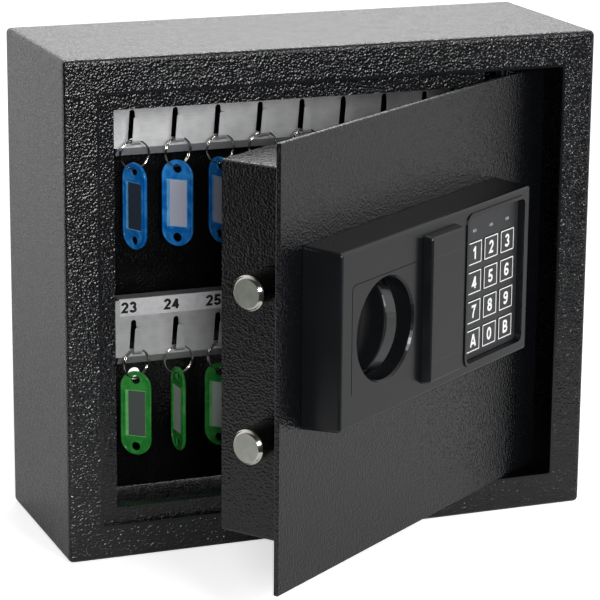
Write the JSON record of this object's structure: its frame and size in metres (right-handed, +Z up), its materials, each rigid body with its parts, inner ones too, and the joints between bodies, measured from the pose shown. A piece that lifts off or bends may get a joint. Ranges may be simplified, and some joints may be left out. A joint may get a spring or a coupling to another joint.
{
  "type": "electronic key cabinet",
  "caption": "Wall key cabinet with an electronic keypad lock, turning knob, sliding bolts, hook rails, split rings and coloured key tags, its door standing part open.",
  "frame": {"origin": "the middle of the back face, the face that lies against the wall", "axes": "+X to the right as seen from the front, +Y backward into the wall, +Z up; the front face is at Y -0.120 m"},
  "size_m": [0.334, 0.2711, 0.3],
  "materials": {
    "powder_coat": "hammered, semi-gloss",
    "battery_wrap": "printed wrap",
    "satin_abs": "satin",
    "zinc": "zinc plated",
    "nickel": "polished",
    "circuit_board": "solder resist",
    "galvanised": "mill galvanised",
    "keycap": "matte",
    "overlay": "fine matte film",
    "strip_white": "smooth",
    "button_red": "smooth",
    "tag_blue": "glossy",
    "tag_green": "glossy"
  },
  "bodies": {
    "cabinet": {"body_shell": "powder_coat", "stop_frame": "powder_coat", "hinge_pin_bottom": "zinc", "hinge_pin_top": "zinc", "back_panel": "powder_coat", "hook_rail_top": "galvanised", "hook_rail_lower": "galvanised", "number_strip": "strip_white", "rail_upright_left": "galvanised", "rail_upright_right": "galvanised"},
    "door": {"door_plate": "powder_coat", "door_pan": "powder_coat", "guide_stud_lower": "zinc", "guide_stud_upper": "zinc", "lock_housing": "satin_abs", "keypad_overlay": "overlay", "circuit_board": "circuit_board", "emergency_lock": "nickel", "solenoid": "zinc", "battery_box": "satin_abs", "battery": "battery_wrap"},
    "bolts": {"bolt_carrier": "zinc", "bolt_lower": "nickel", "bolt_upper": "nickel"},
    "knob": {"knob": "satin_abs", "knob_spindle": "zinc"},
    "key_plug": {"key_plug": "nickel"},
    "emergency_cover": {"emergency_cover": "satin_abs"},
    "plunger": {"solenoid_plunger": "nickel"},
    "battery_lid": {"battery_lid": "satin_abs"},
    "reset_button": {"reset_button": "button_red"},
    "key_0": {"key_0": "keycap"},
    "key_1": {"key_1": "keycap"},
    "key_2": {"key_2": "keycap"},
    "key_3": {"key_3": "keycap"},
    "key_4": {"key_4": "keycap"},
    "key_5": {"key_5": "keycap"},
    "key_6": {"key_6": "keycap"},
    "key_7": {"key_7": "keycap"},
    "key_8": {"key_8": "keycap"},
    "key_9": {"key_9": "keycap"},
    "key_a": {"key_a": "keycap"},
    "key_b": {"key_b": "keycap"},
    "ring_1": {"split_ring_1": "nickel"},
    "tag_blue_1": {"tag_blue_1": "tag_blue"},
    "ring_2": {"split_ring_2": "nickel"},
    "tag_blue_2": {"tag_blue_2": "tag_blue"},
    "ring_3": {"split_ring_3": "nickel"},
    "tag_blue_3": {"tag_blue_3": "tag_blue"},
    "ring_4": {"split_ring_4": "nickel"},
    "tag_blue_4": {"tag_blue_4": "tag_blue"},
    "ring_5": {"split_ring_5": "nickel"},
    "tag_blue_5": {"tag_blue_5": "tag_blue"},
    "ring_6": {"split_ring_6": "nickel"},
    "tag_green_6": {"tag_green_6": "tag_green"},
    "ring_7": {"split_ring_7": "nickel"},
    "tag_green_7": {"tag_green_7": "tag_green"},
    "ring_8": {"split_ring_8": "nickel"},
    "tag_green_8": {"tag_green_8": "tag_green"}
  },
  "joints": [
    {"name": "door_hinge", "type": "hinge", "parent": "cabinet", "child": "door", "pos_m": [0.1105, -0.109, 0], "axis": [0, 0, 1], "range_deg": [-35.3, 60.7]},
    {"name": "knob_turn", "type": "hinge", "parent": "door", "child": "knob", "pos_m": [-0.03015, -0.23223, 0.0137], "axis": [-0.5779, 0.8161, 0], "range_deg": [0, 90]},
    {"name": "bolt_slide", "type": "slide", "parent": "door", "child": "bolts", "axis": [0.8161, 0.5779, 0], "range_m": [0, 0.012]},
    {"name": "key_plug_turn", "type": "hinge", "parent": "door", "child": "key_plug", "pos_m": [0.02666, -0.21382, 0.0156], "axis": [-0.5779, 0.8161, 0], "range_deg": [-90, 0]},
    {"name": "emergency_cover_lift", "type": "slide", "parent": "door", "child": "emergency_cover", "axis": [0.5779, -0.8161, 0], "range_m": [0, 0.016]},
    {"name": "plunger_slide", "type": "slide", "parent": "door", "child": "plunger", "axis": [-0.5779, 0.8161, 0], "range_m": [-0.0035, 0]},
    {"name": "battery_lid_lift", "type": "slide", "parent": "door", "child": "battery_lid", "axis": [-0.5779, 0.8161, 0], "range_m": [0, 0.015]},
    {"name": "reset_press", "type": "slide", "parent": "door", "child": "reset_button", "axis": [0.5779, -0.8161, 0], "range_m": [0, 0.001], "stiffness_N_per_m": 400, "springref_m": -0.0005},
    {"name": "key_0_press", "type": "slide", "parent": "door", "child": "key_0", "axis": [-0.5779, 0.8161, 0], "range_m": [0, 0.0005], "stiffness_N_per_m": 800, "springref_m": -0.0003},
    {"name": "key_1_press", "type": "slide", "parent": "door", "child": "key_1", "axis": [-0.5779, 0.8161, 0], "range_m": [0, 0.0005], "stiffness_N_per_m": 800, "springref_m": -0.0003},
    {"name": "key_2_press", "type": "slide", "parent": "door", "child": "key_2", "axis": [-0.5779, 0.8161, 0], "range_m": [0, 0.0005], "stiffness_N_per_m": 800, "springref_m": -0.0003},
    {"name": "key_3_press", "type": "slide", "parent": "door", "child": "key_3", "axis": [-0.5779, 0.8161, 0], "range_m": [0, 0.0005], "stiffness_N_per_m": 800, "springref_m": -0.0003},
    {"name": "key_4_press", "type": "slide", "parent": "door", "child": "key_4", "axis": [-0.5779, 0.8161, 0], "range_m": [0, 0.0005], "stiffness_N_per_m": 800, "springref_m": -0.0003},
    {"name": "key_5_press", "type": "slide", "parent": "door", "child": "key_5", "axis": [-0.5779, 0.8161, 0], "range_m": [0, 0.0005], "stiffness_N_per_m": 800, "springref_m": -0.0003},
    {"name": "key_6_press", "type": "slide", "parent": "door", "child": "key_6", "axis": [-0.5779, 0.8161, 0], "range_m": [0, 0.0005], "stiffness_N_per_m": 800, "springref_m": -0.0003},
    {"name": "key_7_press", "type": "slide", "parent": "door", "child": "key_7", "axis": [-0.5779, 0.8161, 0], "range_m": [0, 0.0005], "stiffness_N_per_m": 800, "springref_m": -0.0003},
    {"name": "key_8_press", "type": "slide", "parent": "door", "child": "key_8", "axis": [-0.5779, 0.8161, 0], "range_m": [0, 0.0005], "stiffness_N_per_m": 800, "springref_m": -0.0003},
    {"name": "key_9_press", "type": "slide", "parent": "door", "child": "key_9", "axis": [-0.5779, 0.8161, 0], "range_m": [0, 0.0005], "stiffness_N_per_m": 800, "springref_m": -0.0003},
    {"name": "key_a_press", "type": "slide", "parent": "door", "child": "key_a", "axis": [-0.5779, 0.8161, 0], "range_m": [0, 0.0005], "stiffness_N_per_m": 800, "springref_m": -0.0003},
    {"name": "key_b_press", "type": "slide", "parent": "door", "child": "key_b", "axis": [-0.5779, 0.8161, 0], "range_m": [0, 0.0005], "stiffness_N_per_m": 800, "springref_m": -0.0003},
    {"name": "ring_1_swing", "type": "hinge", "parent": "cabinet", "child": "ring_1", "pos_m": [-0.0966, -0.0303, 0.082], "axis": [0, 1, 0], "range_deg": [-5, 5]},
    {"name": "tag_1_swing", "type": "hinge", "parent": "ring_1", "child": "tag_blue_1", "pos_m": [-0.0966, -0.02995, 0.06465], "axis": [1, 0, 0], "range_deg": [-20, 5]},
    {"name": "ring_2_swing", "type": "hinge", "parent": "cabinet", "child": "ring_2", "pos_m": [-0.069, -0.0303, 0.082], "axis": [0, 1, 0], "range_deg": [-5, 5]},
    {"name": "tag_2_swing", "type": "hinge", "parent": "ring_2", "child": "tag_blue_2", "pos_m": [-0.0691, -0.02996, 0.06465], "axis": [0.9613, 0.2756, 0], "range_deg": [-20, 5]},
    {"name": "ring_3_swing", "type": "hinge", "parent": "cabinet", "child": "ring_3", "pos_m": [-0.0414, -0.0303, 0.082], "axis": [0, 1, 0], "range_deg": [-5, 5]},
    {"name": "tag_3_swing", "type": "hinge", "parent": "ring_3", "child": "tag_blue_3", "pos_m": [-0.04144, -0.02995, 0.06465], "axis": [0.9945, 0.1045, 0], "range_deg": [-20, 5]},
    {"name": "ring_4_swing", "type": "hinge", "parent": "cabinet", "child": "ring_4", "pos_m": [-0.0138, -0.0303, 0.082], "axis": [0, 1, 0], "range_deg": [-5, 5]},
    {"name": "tag_4_swing", "type": "hinge", "parent": "ring_4", "child": "tag_blue_4", "pos_m": [-0.01382, -0.02995, 0.06465], "axis": [0.9976, 0.0698, 0], "range_deg": [-20, 5]},
    {"name": "ring_5_swing", "type": "hinge", "parent": "cabinet", "child": "ring_5", "pos_m": [0.0138, -0.0303, 0.082], "axis": [0, 1, 0], "range_deg": [-5, 5]},
    {"name": "tag_5_swing", "type": "hinge", "parent": "ring_5", "child": "tag_blue_5", "pos_m": [0.01374, -0.02996, 0.06465], "axis": [0.9848, 0.1736, 0], "range_deg": [-20, 5]},
    {"name": "ring_6_swing", "type": "hinge", "parent": "cabinet", "child": "ring_6", "pos_m": [-0.0966, -0.0303, -0.05], "axis": [0, 1, 0], "range_deg": [-5, 5]},
    {"name": "tag_6_swing", "type": "hinge", "parent": "ring_6", "child": "tag_green_6", "pos_m": [-0.0967, -0.02996, -0.06735], "axis": [0.9613, 0.2756, 0], "range_deg": [-20, 5]},
    {"name": "ring_7_swing", "type": "hinge", "parent": "cabinet", "child": "ring_7", "pos_m": [-0.069, -0.0303, -0.05], "axis": [0, 1, 0], "range_deg": [-5, 5]},
    {"name": "tag_7_swing", "type": "hinge", "parent": "ring_7", "child": "tag_green_7", "pos_m": [-0.069, -0.02995, -0.06735], "axis": [1, 0, 0], "range_deg": [-20, 5]},
    {"name": "ring_8_swing", "type": "hinge", "parent": "cabinet", "child": "ring_8", "pos_m": [-0.0414, -0.0303, -0.05], "axis": [0, 1, 0], "range_deg": [-5, 5]},
    {"name": "tag_8_swing", "type": "hinge", "parent": "ring_8", "child": "tag_green_8", "pos_m": [-0.04148, -0.02996, -0.06735], "axis": [0.9703, 0.2419, 0], "range_deg": [-20, 5]}
  ],
  "couplings": [
    {"joint": "knob_turn", "follows": "bolt_slide", "rad_per_m": 130.9}
  ]
}
